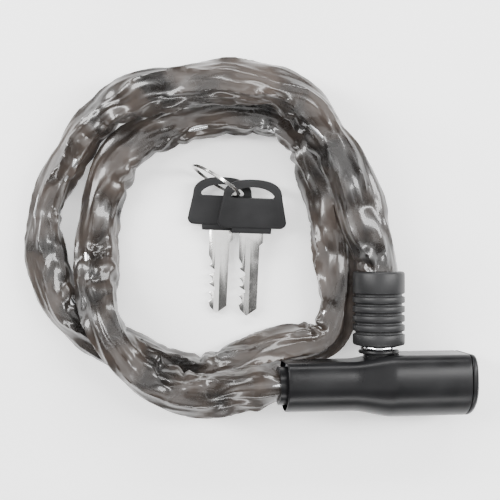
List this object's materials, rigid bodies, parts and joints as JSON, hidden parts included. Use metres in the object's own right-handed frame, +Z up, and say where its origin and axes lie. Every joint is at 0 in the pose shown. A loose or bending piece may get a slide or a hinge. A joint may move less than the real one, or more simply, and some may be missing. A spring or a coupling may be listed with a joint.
{
  "type": "chain lock",
  "caption": "Chain lock: a short-link steel chain in a loose smoked plastic sleeve, coiled in two turns, closed by a key-operated barrel lock with a plug-in bolt, with a pair of keys.",
  "frame": {"origin": "centre of the whole object's box, on the table it lies on", "axes": "+X along the lock from the chain's fixed end to the key's end, +Y the way the bolt pulls out of the lock, +Z up from the table"},
  "size_m": [0.216, 0.1666, 0.0407],
  "materials": {
    "black_plastic": "satin black moulded plastic, glossy where handled",
    "cast_zinc": "as cast, dull grey",
    "brass": "machined",
    "chrome": "polished",
    "chain_steel": "zinc plated, dull",
    "sleeve_plastic": "smoked see-through soft vinyl, glossy and crinkled",
    "key_plastic": "matt black, fine texture",
    "nickel": "nickel plated, lightly brushed",
    "seal_rubber": "matt"
  },
  "bodies": {
    "root": {"housing": "black_plastic", "lock_body": "cast_zinc", "end_cap": "black_plastic", "cylinder_shell": "brass", "bolt_bush": "black_plastic", "anchor_pin": "chain_steel", "chain_link_01": "chain_steel", "chain_link_02": "chain_steel", "chain_link_03": "chain_steel", "chain_link_04": "chain_steel", "chain_link_05": "chain_steel", "chain_link_06": "chain_steel", "chain_link_07": "chain_steel", "chain_link_08": "chain_steel", "chain_link_09": "chain_steel", "chain_link_10": "chain_steel", "chain_link_11": "chain_steel", "chain_link_12": "chain_steel", "chain_link_13": "chain_steel", "chain_link_14": "chain_steel", "chain_link_15": "chain_steel", "chain_link_30": "chain_steel", "chain_link_31": "chain_steel", "chain_link_32": "chain_steel", "chain_link_33": "chain_steel", "chain_link_34": "chain_steel", "chain_link_35": "chain_steel", "chain_link_36": "chain_steel", "chain_link_37": "chain_steel", "chain_link_38": "chain_steel", "chain_link_39": "chain_steel", "chain_link_40": "chain_steel", "chain_middle": "chain_steel", "sleeve": "sleeve_plastic", "sleeve_gathered_end": "sleeve_plastic"},
    "bolt": {"bolt": "chrome", "bolt_seal": "seal_rubber", "ferrule": "black_plastic", "ferrule_pin": "chain_steel", "ferrule_link_1": "chain_steel", "ferrule_link_2": "chain_steel"},
    "sliding_link_1": {"sliding_link_1": "chain_steel"},
    "sliding_link_2": {"sliding_link_2": "chain_steel"},
    "sliding_link_3": {"sliding_link_3": "chain_steel"},
    "sliding_link_4": {"sliding_link_4": "chain_steel"},
    "sliding_link_5": {"sliding_link_5": "chain_steel"},
    "plug": {"key_plug": "nickel", "plug_clip": "chain_steel", "wafer_1": "brass", "wafer_2": "brass", "wafer_3": "brass", "wafer_4": "brass", "wafer_5": "brass"},
    "latch": {"latch": "chain_steel"},
    "key_ring": {"split_ring": "nickel"},
    "key_1": {"key_head_1": "key_plastic", "key_blade_1": "nickel"},
    "key_2": {"key_head_2": "key_plastic", "key_blade_2": "nickel"}
  },
  "joints": [
    {"name": "bolt_slide", "type": "slide", "parent": "root", "child": "bolt", "axis": [0, 1, 0], "range_m": [0, 0.0208], "deforming": ["sleeve_gathered_end"]},
    {"name": "link_slide_1", "type": "slide", "parent": "root", "child": "sliding_link_1", "axis": [-0.6716, 0.7332, -0.1062], "range_m": [0, 0.00228]},
    {"name": "link_slide_2", "type": "slide", "parent": "root", "child": "sliding_link_2", "axis": [-0.489, 0.867, -0.096], "range_m": [0, 0.00516]},
    {"name": "link_slide_3", "type": "slide", "parent": "root", "child": "sliding_link_3", "axis": [-0.3029, 0.9504, -0.0705], "range_m": [0, 0.00864]},
    {"name": "link_slide_4", "type": "slide", "parent": "root", "child": "sliding_link_4", "axis": [-0.1483, 0.9876, -0.0511], "range_m": [0, 0.01256]},
    {"name": "link_slide_5", "type": "slide", "parent": "root", "child": "sliding_link_5", "axis": [-0.0478, 0.9984, -0.0304], "range_m": [0, 0.01671]},
    {"name": "key_turn", "type": "hinge", "parent": "root", "child": "plug", "pos_m": [0.09104, -0.06783, 0.01746], "axis": [-0.989, 0, 0.1478], "range_deg": [0, 90]},
    {"name": "latch_slide", "type": "slide", "parent": "root", "child": "latch", "axis": [-0.1478, 0, -0.989], "range_m": [0, 0.00226]},
    {"name": "keys_lift", "type": "slide", "parent": "root", "child": "key_ring", "axis": [0, 0, 1], "range_m": [0, 0.06]},
    {"name": "key_1_swing", "type": "hinge", "parent": "key_ring", "child": "key_1", "pos_m": [-0.00473, 0.02247, 0.012], "axis": [0, 0, 1], "range_deg": [0, 15]},
    {"name": "key_2_swing", "type": "hinge", "parent": "key_ring", "child": "key_2", "pos_m": [-0.00853, 0.02477, 0.005], "axis": [0, 0, 1], "range_deg": [-12, 0]}
  ],
  "couplings": [
    {"joint": "link_slide_1", "follows": "bolt_slide", "ratio": 0.10849},
    {"joint": "link_slide_2", "follows": "bolt_slide", "ratio": 0.24715},
    {"joint": "link_slide_3", "follows": "bolt_slide", "ratio": 0.41434},
    {"joint": "link_slide_4", "follows": "bolt_slide", "ratio": 0.60277},
    {"joint": "link_slide_5", "follows": "bolt_slide", "ratio": 0.80251},
    {"joint": "key_turn", "follows": "latch_slide", "rad_per_m": 694.2}
  ]
}
